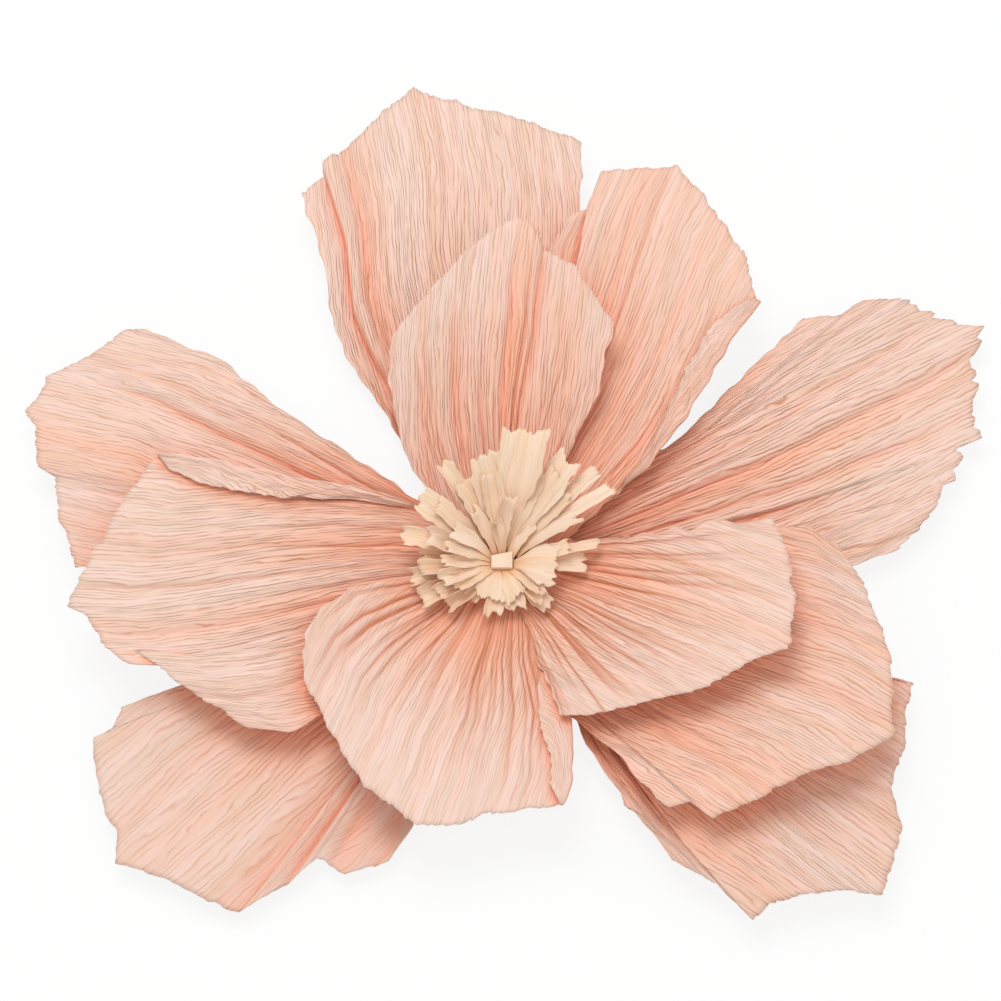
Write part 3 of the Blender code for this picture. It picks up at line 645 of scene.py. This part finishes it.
class Sheet:
    """The rules of one petal, on arrays of shares u across and v along."""

    def __init__(self, spec, seed):
        self.spec = spec
        self.seed = seed
        self.random = np.random.default_rng(seed)
        self.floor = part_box(spec["name"])[0].z
        foot = [(-FOOT_BACK, -FOOT_HALF_WIDTH), (-FOOT_BACK, FOOT_HALF_WIDTH)]
        self.tip = self.outline("tip")
        self.first = [foot[0], *self.outline("first"), self.tip[0]]
        self.second = [foot[1], *self.outline("second"), self.tip[-1]]
        self.minor = self.small_folds(12, (0.15, 0.75), (0.010, 0.022), (0.50, 1.2))
        self.gathers = self.small_folds(GATHERS, (0.25, 1.0), (0.005, 0.012), GATHER_REACH)

    def outline(self, part):
        spec = self.spec
        return [(along * spec["length"], across * spec["half_width"]) for across, along in spec[part]]

    def small_folds(self, count, strength, width, reach):
        """Places, depths, widths, leans and reaches of small folds, spread unevenly over the width."""
        draw = self.random.uniform
        return [
            ((i + draw(0.1, 0.9)) / count, draw(*strength), draw(*width), draw(-0.6, 0.6), draw(*reach))
            for i in range(count)
        ]

    def flat(self, u, v):
        """Seen from above: the four edges blended over the sheet, with the tip a little frayed."""
        tip = np.array(self.tip)
        straight = tip[0] + (tip[-1] - tip[0]) * u[..., None]
        first = along_line(self.first, v)
        second = along_line(self.second, v)
        sides = first + (second - first) * u[..., None]
        place = sides + (along_line(self.tip, u) - straight) * v[..., None]
        millimetres = u * 2 * self.spec["half_width"] * MM
        fray = 0.0
        for number, (depth, spacing) in enumerate(TIP_FRAY, 1):
            fray = fray + depth * crumple(millimetres / spacing, 0 * u, self.seed + number)
        fray = self.spec["teeth"] * fray / MM * smooth((v - 0.86) / 0.14)
        along = v * self.spec["length"] * MM
        side_fray = crumple(along / SIDE_FRAY_SPACING, 3.0 * np.round(u), self.seed + 3)
        side_fray = side_fray * self.spec["scallops"] / MM
        side_fray = side_fray * np.abs(2 * u - 1) ** 12 * smooth(v / 0.3)
        return place + np.stack([fray, side_fray], -1)

    def cut_width(self, u, v):
        """Width of the sheet at v, before it was gathered, and the share of it that still shows."""
        first = along_line(self.first, v)
        second = along_line(self.second, v)
        width = np.hypot(*np.moveaxis(second - first, -1, 0))
        surplus = SURPLUS * 2 * self.spec["half_width"] * (1 - v) ** 2
        return width + surplus, width / (width + surplus)

    def growth(self, radius):
        past = past_flat(radius)
        return past**2 / (past**2 + FOLD_GROWTH**2)

    def smooth_height(self, radius):
        """Height of the sheet without its folds."""
        spec = self.spec
        past = past_flat(radius)
        rise = tan(radians(spec["rise"])) * past * past / (past + BEND)
        share = past / (spec["length"] - FLAT_REACH)
        level = self.floor + rise - spec["droop"] * spec["length"] * share**3
        return level + FOLD_LIFT * FOLD_DEPTH * self.growth(radius)

    def folds(self, u, v, radius):
        """How far the folds push the sheet down in metres, how deep they look for their painted shade, and
        where the creases get theirs.
        """
        calm = np.minimum(1.0, np.minimum(u, 1.0 - u) / CALM_EDGE)
        drop = np.zeros_like(u)
        for place, strength, lean, reach in self.spec["folds"]:
            fade = 1.0 - smooth((v - reach + 0.35) / 0.35)
            drop += strength * pinch(u - place, FOLD_WIDTH, lean) * fade
        for place, strength, width, lean, reach in self.minor:
            fade = 1.0 - smooth((v - reach + 0.30) / 0.30)
            drop += strength * pinch(u - place, width, lean) * fade
        drop = FOLD_LIMIT * (1.0 - np.exp(-drop / FOLD_LIMIT))
        deep = FOLD_DEPTH * self.growth(radius) * drop * calm
        close = np.zeros_like(u)
        line = np.zeros_like(u)
        stretch = sqrt(self.spec["length"] / RANKS["inner"]["length"])
        for number, (place, strength, width, lean, reach) in enumerate(self.gathers):
            fade = 1.0 - smooth(radius / (reach * stretch) * 1.4 - 0.4)
            bend = GATHER_BEND * crumple(radius * MM / 14.0, number + 0 * u, self.seed + 10)
            valley = pinch(u - place - bend, width, lean)
            close += strength * valley * fade
            line += strength * valley**2 * fade
        past = past_flat(radius)
        near = GATHER_DEPTH * smooth(past / 0.025)
        return deep + near * close, 0.45 * drop**2 * self.growth(radius) * calm, line

    def crinkle(self, u, v):
        """Height of the paper's own crinkle, and millimetres across and along the sheet."""
        width, shown = self.cut_width(u, v)
        across = (u - 0.5) * width * MM
        along = v * self.spec["length"] * MM
        wander = WANDER * crumple(across / 3.0, along / 7.0, self.seed + 4)
        height = 0.0
        for number, (size, spacing, reach) in enumerate(CRINKLE, 5):
            height = height + size * crumple((across + wander) / spacing, along / reach, self.seed + number)
        return height / MM * smooth(shown / 0.6), across, along

    def ruffle(self, u, v):
        """Slow waves that grow towards the tip."""
        count = 2.0 * self.spec["half_width"] * MM / RUFFLE_SPACING
        wave = crumple(u * count, v * 1.5, self.seed + 7)
        return self.spec["ruffle"] * wave * smooth((v - 0.45) / 0.5)

    def surface(self, u, v):
        """Points of the sheet in the petal's own frame, with what its material reads."""
        flat = self.flat(u, v)
        radius = np.hypot(flat[..., 0], flat[..., 1])
        drop, fold_shade, line = self.folds(u, v, radius)
        crinkle, across, along = self.crinkle(u, v)
        height = self.smooth_height(radius) - drop
        height = height + crinkle * smooth((radius - 0.02) / 0.02) + self.ruffle(u, v)
        place = triple(flat[..., 0], flat[..., 1], height)
        # Warmer towards the foot and paler at the tip: partly the dye and partly painted light that has
        # passed between the sheets near the foot.
        foot = self.spec["foot_warmth"] * (1.0 - smooth((v - 0.08) / 0.64))
        warmth = self.spec["warmth"] + foot - TIP_PALENESS * smooth((v - 0.5) / 0.5)
        for middle, width, change in self.spec["bands"]:
            warmth = warmth + change * np.exp(-((u - middle) / width) ** 2) * smooth((v - 0.12) / 0.25)
        # Painted shade for the folds, deepened along the gathers.
        fold_shade = np.clip(fold_shade + 0.35 * line, 0.0, 1.2)
        grain = self.spec["grain"] * (1.0 - 0.35 * smooth((v - 0.55) / 0.4))
        grain = grain * (0.70 + 0.30 * smooth((v - 0.15) / 0.25))
        # How dark the painted shade in the creases of the gathers is.
        crease = np.clip(self.spec["creases"] * line, 0.0, 1.0)
        sheet = triple(across, along, self.seed * 17.0)
        return place, {"sheet": sheet, "tone": triple(warmth, fold_shade, 0.0), "crease_shade_and_grain": triple(crease, grain, 0.0)}


# %% [markdown]
# ## Making the sheets
# The grid starts as a plain square from the grid operator. The place of each of its points in the
# square is the point's share across and along the petal, and the rules turn it into a place in the
# flower. Where a side of the petal is turned over, more columns carry the sheet round the bend and
# back over itself. A Solidify modifier then gives the paper its thickness.

# %% Petals
LAYERS = ("sheet", "tone", "crease_shade_and_grain")
PAPER = 0.00028
SHEET_LIFT = 0.00012  # the sheet lies a little above the bottom of the space that its solid holds
TURN_COLUMNS = 6
TURN_TAPER = 0.45  # share of the turned side along which it opens to its full width
FLAP_COLUMNS = 26
FLAP_WAVE = 0.0009  # metres that the turned side waves up and down


def turned_side(sheet, v, first_row, columns):
    """The turned-over part of a sheet: round the bend, then back to the free edge."""
    free = sheet.outline("flap")
    side = -1.0 if free[0][1] < 0 else 1.0
    edge, layers = sheet.surface(np.full_like(v, 0.0 if side < 0 else 1.0), v)
    past_start = np.clip((v - first_row) / (1.0 - first_row), 0.0, 1.0)
    opened = np.maximum(smooth(past_start / TURN_TAPER), 0.03)
    radius = TURN_RADIUS * opened
    angle = pi * np.minimum(columns / TURN_COLUMNS, 1.0)
    bend = edge + triple(0.0, side * radius * np.sin(angle), radius * (1.0 - np.cos(angle)))
    share = np.clip((columns - TURN_COLUMNS) / FLAP_COLUMNS, 0.0, 1.0)
    end = along_line(free, past_start)
    flat = edge[..., :2] + (end - edge[..., :2]) * (share * opened)[..., None]
    along = v * sheet.spec["length"] * MM
    fray = 0.7 * crumple(along / 3.0, 0 * v, sheet.seed + 9) / MM
    flat[..., 1] += fray * share * smooth(share)
    wave = crumple(along / 16.0, share * 1.5, sheet.seed + 8)
    reach = np.hypot(flat[..., 0], flat[..., 1])
    height = sheet.smooth_height(reach) + 2 * radius + FLAP_WAVE * wave * share * opened
    over = bend.copy()
    past = columns > TURN_COLUMNS
    lie = smooth(share / 0.25)
    height = bend[..., 2] + (height - bend[..., 2]) * lie
    over[past] = triple(flat[..., 0], flat[..., 1], height)[past]
    across = (0.5 * side * sheet.cut_width(v, v)[0] * MM) + side * columns * 0.6
    grain = triple(across, along, sheet.seed * 17.0)
    # The turned side is a little paler, with a painted shade in its bend.
    tone = triple(layers["tone"][..., 0] - 0.12, 0.25 * (1 - share), 0.0)
    crease_shade_and_grain = layers["crease_shade_and_grain"] * (0, 1, 1)
    return over, {"sheet": grain, "tone": tone, "crease_shade_and_grain": crease_shade_and_grain}


def add_layers(mesh_data):
    for name in LAYERS:
        mesh_data.verts.layers.float_vector.new(name)


def write_points(mesh_data, verts, place, layers):
    """Moves the points to their places and writes what the material reads at each."""
    for vert, point in zip(verts, place):
        vert.co = point
    for name in LAYERS:
        layer = mesh_data.verts.layers.float_vector[name]
        for vert, value in zip(verts, layers[name]):
            vert[layer] = value


def make_petal(spec, seed):
    sheet = Sheet(spec, seed)
    wide, long = spec["grid"]
    turned = first_row = 0
    backwards = False
    if "flap" in spec:
        turned = TURN_COLUMNS + FLAP_COLUMNS
        backwards = spec["flap"][0][0] < 0
        first_row = round(spec["turned_from"] * long)
    grid = bmesh.new()
    bmesh.ops.create_grid(grid, x_segments=wide + turned, y_segments=long, size=0.5)
    corner = np.array([vert.co for vert in grid.verts])
    column = np.round((corner[:, 0] + 0.5) * (wide + turned))
    row = np.round((corner[:, 1] + 0.5) * long)
    u = np.minimum(column / wide, 1.0)
    place, layers = sheet.surface(1.0 - u if backwards else u, row / long)
    if turned:
        extra = column > wide
        rows = np.maximum(row[extra], first_row) / long
        place[extra], over = turned_side(sheet, rows, first_row / long, column[extra] - wide)
        for name in LAYERS:
            layers[name][extra] = over[name]
    turn = radians(spec["heading"])
    x, y = place[:, 0].copy(), place[:, 1].copy()
    place[:, 0] = x * cos(turn) - y * sin(turn)
    place[:, 1] = x * sin(turn) + y * cos(turn)
    place[:, 2] += SHEET_LIFT
    add_layers(grid)
    write_points(grid, grid.verts, place, layers)
    spare = [vert for i, vert in enumerate(grid.verts) if column[i] > wide and row[i] < first_row]
    bmesh.ops.delete(grid, geom=spare, context="VERTS")
    # The grid runs across and then along, so its faces point down until they are turned.
    if not backwards:
        bmesh.ops.reverse_faces(grid, faces=grid.faces)
    name = spec["name"].replace("petal", "sheet")
    return finish_sheet(grid, name, blush_crepe, spec["name"])


def finish_piece(mesh_data, name, mat, node):
    """Makes the object and lets it stand for its solid."""
    mesh = bpy.data.meshes.new(name)
    mesh_data.to_mesh(mesh)
    mesh_data.free()
    mesh.materials.append(mat)
    obj = bpy.data.objects.new(name, mesh)
    bpy.context.scene.collection.objects.link(obj)
    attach(obj, "root")
    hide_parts(node)
    return obj


def finish_sheet(grid, name, mat, node):
    """Makes a sheet's object and gives it the thickness of the paper."""
    obj = finish_piece(grid, name, mat, node)
    obj.data.shade_smooth()
    paper = obj.modifiers.new("paper", "SOLIDIFY")
    paper.thickness = PAPER
    paper.offset = 1.0
    return obj


petals = [make_petal(complete(spec), 100 + 10 * number) for number, spec in enumerate(PETALS)]
for petal in petals:
    print(petal.name, len(petal.data.polygons), "faces")

# %% [markdown]
# ## The fringed centre
# The centre is one long strip of cream crepe. Its upper part is cut into tabs, the lower part is
# rolled round the core in three turns, and each tab is then pulled outwards by hand. So it is
# modelled as that strip: a band that winds inwards, with a small grid for each tab whose lowest
# row is merged with the band. The tabs lie where the hand pulled them and follow no rule, so each
# is drawn by its end: degrees round the flower, distance from the axis, height, width, and how far
# its sides are cupped. The pulling also leans the whole roll a little.

# %% Fringe
BAND_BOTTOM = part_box("centre_fringe")[0].z
BAND_TOP = BAND_BOTTOM + 0.0075
BAND_OUTER = 0.0118
BLOCK_REACH = (0.0045, 0.0032)  # half the core's width and depth, with room for the paper
ROLL_TIGHTNESS = 2.8  # the inner turns lie closer together than the outer ones
BAND_ROWS = 3
TAB_COLUMNS = 22
TAB_ROWS = 22
END_CURL = 0.007  # how far the end of a fully cupped tab bends up
ROLL_LEAN = -0.003  # the rolled band and the core lean a little towards the front
KNEE_PULL = 0.08  # share of a tab's length by which its middle is drawn inwards
KNEE_RISE = (0.10, 0.20)  # and raised
TAB_GRAIN = 0.28  # the cream paper shows much less grain than the petals'
TAB_TWIST = 0.30
TAB_CREASE = 0.30
TAB_SLANT = 0.25
# (azimuth, distance, height, width, cup) of each tab's end, in degrees and millimetres, outermost
# turn first; the cup is how far the tab's sides are bent up, as a share of half its width
TABS = (
    (355, 35, 20, 9, 0.1), (5, 40, 23, 5, 0.2), (16, 20, 19, 4, 0.1), (29, 52, 34, 6, 0.1),
    (39, 51, 38, 6, 0.0), (52, 45, 42, 12, 0.0), (77, 46, 50, 19, 0.0), (102, 37, 45, 13, 0.1),
    (125, 42, 38, 7, 0.1),
    (148, 40, 33, 12, 0.1), (170, 42, 25, 8, 0.2), (182, 33, 21, 7, 0.3), (194, 38, 18, 8, 0.4),
    (208, 38, 17, 9, 0.3), (222, 30, 17, 9, 0.3), (260, 24, 16, 8, 0.3), (312, 29, 17, 8, 0.2),
    (332, 20, 18, 5, 0.1),
    (3, 28, 26, 7, 0.1), (25, 35, 32, 7, 0.1), (39, 35, 36, 8, 0.1), (50, 37, 40, 11, 0.0),
    (66, 34, 41, 12, 0.0), (100, 30, 40, 9, 0.3), (122, 32, 36, 8, 0.2), (147, 33, 33, 8, 0.2),
    (170, 32, 27, 9, 0.5), (195, 33, 22, 7, 0.5), (212, 31, 20, 7, 0.4), (234, 22, 18, 7, 0.1),
    (286, 23, 18, 9, 0.1), (310, 25, 20, 7, 0.3),
    (345, 24, 27, 18, -0.1), (41, 16, 30, 6, 0.1), (83, 20, 40, 7, 0.4), (104, 13, 33, 6, 0.3),
    (127, 20, 34, 6, 0.1), (158, 21, 31, 7, 0.1), (177, 23, 29, 7, 0.1), (192, 25, 26, 6, 0.3),
    (206, 28, 25, 7, 0.5), (220, 24, 23, 6, 0.3), (253, 19, 21, 15, 0.0), (288, 20, 22, 9, 0.0),
    (315, 23, 23, 7, 0.1),
)


def tab_angles():
    """The tabs' azimuths in degrees, counted on from turn to turn."""
    angles = []
    for tab in TABS:
        turns = 0 if not angles else 360 * np.floor(angles[-1] / 360)
        angle = tab[0] + turns
        while angles and angle <= angles[-1]:
            angle += 360
        angles.append(angle)
    return np.array(angles)


TAB_ANGLES = tab_angles()
ROLL_START = TAB_ANGLES[0] - 5
ROLL_END = TAB_ANGLES[-1] + 15


def band_point(share, height):
    """A point of the rolled band: share 0 at the outer end and 1 at the inner end."""
    angle = radians(ROLL_START + (ROLL_END - ROLL_START) * share)
    block = (abs(cos(angle) / BLOCK_REACH[0]) ** 8 + abs(sin(angle) / BLOCK_REACH[1]) ** 8) ** -0.125
    radius = block + (BAND_OUTER - block) * (1.0 - share) ** ROLL_TIGHTNESS
    lean = ROLL_LEAN * (height - BAND_BOTTOM) / (BAND_TOP - BAND_BOTTOM)
    return np.array([radius * cos(angle), radius * sin(angle) + lean, height])


def tab_points(number, start, end, across, along, random):
    """Places of a tab's points; across and along are arrays of shares."""
    azimuth, distance, height, width, cup = TABS[number]
    azimuth = radians(azimuth)
    base = (band_point(start, BAND_TOP) + band_point(end, BAND_TOP)) / 2
    tip = np.array([distance * cos(azimuth), distance * sin(azimuth), height]) / MM
    length = np.linalg.norm(tip - base)
    root = base[:2] / np.linalg.norm(base[:2])
    rise = random.uniform(*KNEE_RISE)
    knee = (base + tip) / 2 + np.array([-root[0] * KNEE_PULL, -root[1] * KNEE_PULL, rise]) * length
    # A quadratic curve from the band over the knee to the end.
    t = along[..., None]
    centre = base * (1 - t) ** 2 + knee * 2 * t * (1 - t) + tip * t**2
    ahead = (knee - base) * 2 * (1 - t) + (tip - knee) * 2 * t
    ahead = ahead / np.linalg.norm(ahead, axis=-1, keepdims=True)
    side_start = band_point(end, BAND_TOP) - band_point(start, BAND_TOP)
    half_start = np.linalg.norm(side_start) / 2
    side_start = side_start / np.linalg.norm(side_start)
    side_end = np.array([-sin(azimuth), cos(azimuth), random.uniform(-TAB_TWIST, TAB_TWIST)])
    side = side_start * (1 - t) + side_end * t
    side = side - ahead * (side * ahead).sum(-1, keepdims=True)
    side = side / np.linalg.norm(side, axis=-1, keepdims=True)
    above = np.cross(ahead, side)
    spread_out = smooth(along / 0.75)
    half = half_start + (width / MM / 2 - half_start) * spread_out
    offset = 2 * across - 1
    rough = crumple(along * length * MM / 2.6, 5.0 + 3.0 * np.sign(offset), 700 + number)
    half = half * (1.0 + 0.14 * rough * smooth(along / 0.5) * offset**4)
    cup = cup + random.uniform(-0.10, 0.10)
    crease = random.uniform(-TAB_CREASE, TAB_CREASE)
    slant = random.uniform(-TAB_SLANT, TAB_SLANT)
    seed = 900 + number
    ridge = 0.30 * crumple(offset * half * MM / 1.3, along * 3.0, seed) / MM
    curl = half * (2 * cup * (offset**2 - 0.4) + crease * (np.abs(offset - 0.2) - 0.5)) * spread_out
    curl = curl + END_CURL * cup * smooth((along - 0.55) / 0.45) ** 2
    lift = (ridge + curl) * smooth(along / 0.25)
    fray = 0.7 * crumple(offset * width / 1.1, 0 * offset, seed + 50)
    fray = fray + 1.6 * crumple(offset * width / 3.0, 0 * offset, seed + 60)
    fray = fray / MM * smooth((along - 0.70) / 0.30)
    fray = fray + slant * offset * half * smooth((along - 0.5) / 0.5)
    place = centre + side * (offset * half)[..., None] + above * lift[..., None] + ahead * fray[..., None]
    sheet = triple(offset * width / 2 + 40.0 * number, along * length * MM, 0.0)
    # Painted shade: towards the roll a tab is warmer and deeper in colour, and the lower tabs are a little
    # warmer; the random part is the paper's own tone.
    depth = 1.0 - smooth(along / 0.5)
    low = 1.0 - smooth((height - 16.0) / 18.0)
    warmth = random.uniform(0.0, 0.26) + 0.08 * low + 0.60 * depth
    crease_shade_and_grain = triple(0 * along, TAB_GRAIN, 0.0)
    return place, {"sheet": sheet, "tone": triple(warmth, 0.40 * depth, 0.0), "crease_shade_and_grain": crease_shade_and_grain}


def place_grid(mesh_data, columns, rows, rule):
    """Adds a grid whose points a rule places from their shares across and along."""
    made = bmesh.ops.create_grid(mesh_data, x_segments=columns, y_segments=rows, size=0.5)["verts"]
    corner = np.array([vert.co for vert in made])
    place, layers = rule(corner[:, 0] + 0.5, corner[:, 1] + 0.5)
    write_points(mesh_data, made, place, layers)


def make_fringe():
    random = np.random.default_rng(77)
    strip = bmesh.new()
    add_layers(strip)
    middles = (TAB_ANGLES[1:] + TAB_ANGLES[:-1]) / 2
    bounds = (np.array([ROLL_START, *middles, ROLL_END]) - ROLL_START) / (ROLL_END - ROLL_START)

    for number, (start, end) in enumerate(zip(bounds, bounds[1:])):

        def band_rule(across, along):
            share = start + (end - start) * across
            low = np.array([band_point(s, BAND_BOTTOM) for s in share])
            low[:, 2] += (BAND_TOP - BAND_BOTTOM) * along
            low[:, 1] += ROLL_LEAN * along
            sheet = triple(share * 150.0, along * 6.5, 0.0)
            # Painted shade: the rolled band lies under the tabs, so it is warm and deep in colour.
            tone = triple(0.7 + 0 * along, 0.6, 0.0)
            return low, {"sheet": sheet, "tone": tone, "crease_shade_and_grain": 0 * tone}

        def tab_rule(across, along):
            place, layers = tab_points(number, start, end, across, along, random)
            foot = along < 0.5 / TAB_ROWS
            share = start + (end - start) * across[foot]
            place[foot] = np.array([band_point(s, BAND_TOP) for s in share])
            return place, layers

        place_grid(strip, TAB_COLUMNS, BAND_ROWS, band_rule)
        place_grid(strip, TAB_COLUMNS, TAB_ROWS, tab_rule)
    bmesh.ops.remove_doubles(strip, verts=strip.verts, dist=0.00001)
    bmesh.ops.recalc_face_normals(strip, faces=strip.faces)
    return finish_sheet(strip, "fringe_strip", cream_crepe, "centre_fringe")


fringe = make_fringe()
print(fringe.name, len(fringe.data.polygons), "faces")

# %% [markdown]
# ## The folded core
# The strip is rolled on a piece of the same paper that is folded to a small block, with its end
# tucked in like a parcel's. That end shows in the middle of the flower as a pale patch, nearly
# square and a little askew. So it is a block from the cube operator, cut finely enough to lean with
# the roll, with edges as sharp as a fold in paper.

# %% Core
CORE_FOLD = 0.00025  # radius of the folds along its edges
CORE_CUTS = 12
CORE_SKEW = 0.0009  # how much further back the right corner of its end lies than the left one
core_low, core_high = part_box("centre_core")


def make_core():
    block = bmesh.new()
    add_layers(block)
    bmesh.ops.create_cube(block, size=1.0)
    bmesh.ops.scale(block, vec=core_high - core_low, verts=block.verts)
    bmesh.ops.translate(block, vec=(core_high + core_low) / 2, verts=block.verts)
    bmesh.ops.bevel(
        block, geom=block.edges, offset=CORE_FOLD, segments=2, profile=0.5, affect="EDGES", material=-1,
    )
    bmesh.ops.subdivide_edges(block, edges=block.edges, cuts=CORE_CUTS, use_grid_fill=True)
    place = np.array([vert.co for vert in block.verts])
    x, y, z = place.T.copy()
    up = (z - BAND_BOTTOM) / (BAND_TOP - BAND_BOTTOM)
    back = (y - core_low.y) / (core_high.y - core_low.y)
    place[:, 1] += ROLL_LEAN * np.minimum(up, 1.0) + CORE_SKEW * back * x / core_high.x
    place[:, 2] += 0.10 * crumple(x * MM / 2.5, y * MM / 2.0, 41) / MM * (up > 1.0)
    sheet = triple(x * MM + 500.0, y * MM, z * MM)
    # The core is pale, with a painted shade on its sides below the end.
    tone = triple(-0.3, 0.5 * (1.0 - smooth((z - core_high.z + 0.0012) / 0.0010)), 0.0)
    write_points(block, block.verts, place, {"sheet": sheet, "tone": tone, "crease_shade_and_grain": 0 * tone})
    return finish_piece(block, "folded_core", cream_crepe, "centre_core")


core = make_core()
print(core.name, len(core.data.polygons), "faces")

# %% [markdown]
# ## Light between the sheets
# Where a sheet lies deep in a fold or close under another one, the light that reaches it has passed
# through pink paper or bounced from it, and the paper looks a deep coral there. A renderer that
# follows light through thin paper is slow and noisy. So each point of a petal looks up along a few
# directions and notes how much of the sky the petals cover nearby, its own folds too, and the
# material warms its colour by that share. The fringe does the same against its own tabs. The petals
# leave it out, because light that comes through its cream paper stays pale.

# %% Cover
COVER_REACH = 0.026  # metres within which other paper counts
COVER_LEAN = radians(-20)  # towards the top of the picture, where most of the light comes from
COVER_LIFT = Vector((0.0, 0.0, 0.0007))  # the look starts clear of the sheet itself
COVER_RINGS = ((radians(80), 3), (radians(58), 5), (radians(36), 6))  # elevation and directions
COVER_ROUNDS = 3  # each round blends a point's share with its neighbours'


def cover_directions():
    directions = []
    for elevation, count in COVER_RINGS:
        for i in range(count):
            turn = 2 * pi * (i + 0.5 * elevation) / count
            way = Vector((cos(turn) * cos(elevation), sin(turn) * cos(elevation), sin(elevation)))
            directions.append(Matrix.Rotation(COVER_LEAN, 3, "X") @ way)
    return directions


def paper_tree(pieces):
    corners, faces = [], []
    for piece in pieces:
        first = len(corners)
        corners += [vert.co.copy() for vert in piece.data.vertices]
        faces += [[first + i for i in face.vertices] for face in piece.data.polygons]
    return BVHTree.FromPolygons(corners, faces)


def note_cover(piece, tree, directions):
    """Writes the covered share of the sky into the last value of the piece's tone."""
    mesh = piece.data
    count = len(mesh.vertices)
    hits = np.zeros(count)
    for i, vert in enumerate(mesh.vertices):
        start = vert.co + COVER_LIFT
        hits[i] = sum(tree.ray_cast(start, way, COVER_REACH)[0] is not None for way in directions)
    share = hits / len(directions)
    ends = np.zeros(2 * len(mesh.edges), dtype=np.int64)
    mesh.edges.foreach_get("vertices", ends)
    one, two = ends[0::2], ends[1::2]
    neighbours = np.bincount(ends, minlength=count)
    for _ in range(COVER_ROUNDS):
        total = np.bincount(one, share[two], count) + np.bincount(two, share[one], count)
        share = (share + total) / (1 + neighbours)
    tone = mesh.attributes["tone"]
    values = np.zeros(3 * count)
    tone.data.foreach_get("vector", values)
    values[2::3] = share
    tone.data.foreach_set("vector", values)
    return share


directions = cover_directions()
petal_tree = paper_tree(petals)
fringe_tree = paper_tree([fringe])
for piece in (*petals, fringe):
    share = note_cover(piece, fringe_tree if piece is fringe else petal_tree, directions)
    print(piece.name, "covered", round(float(share.mean()), 2), "to", round(float(share.max()), 2))

# %% [markdown]
# ## The backing card
# The card under the petals is plain grey-pink board. Its solid already has the right shape, so it
# keeps it and only gets a material: pressed fibres, seen as faint flecks and a slight roughness.

# %% Card
CARD_DARK = (0.72, 0.57, 0.49, 1.0)
CARD_PALE = (0.84, 0.72, 0.64, 1.0)
FIBRE_SCALE = 900.0


def card_material():
    mat, nodes, links = new_material("card")
    shader = nodes["Principled BSDF"]
    shader.inputs["Roughness"].default_value = 0.80
    place = nodes.new("ShaderNodeTexCoord")
    fibres = nodes.new("ShaderNodeTexNoise")
    fibres.inputs["Scale"].default_value = FIBRE_SCALE
    fibres.inputs["Detail"].default_value = 4.0
    links.new(place.outputs["Object"], fibres.inputs["Vector"])
    colour = mix_colours(nodes, links, fibres.outputs["Fac"], CARD_DARK, CARD_PALE)
    links.new(colour, shader.inputs["Base Color"])
    bump = nodes.new("ShaderNodeBump")
    bump.inputs["Strength"].default_value = 0.4
    bump.inputs["Distance"].default_value = 0.0001
    links.new(fibres.outputs["Fac"], bump.inputs["Height"])
    links.new(bump.outputs[0], shader.inputs["Normal"])
    return mat


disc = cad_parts["backing_disc"]
disc.data.materials.clear()
disc.data.materials.append(card_material())
print("card:", disc.name)
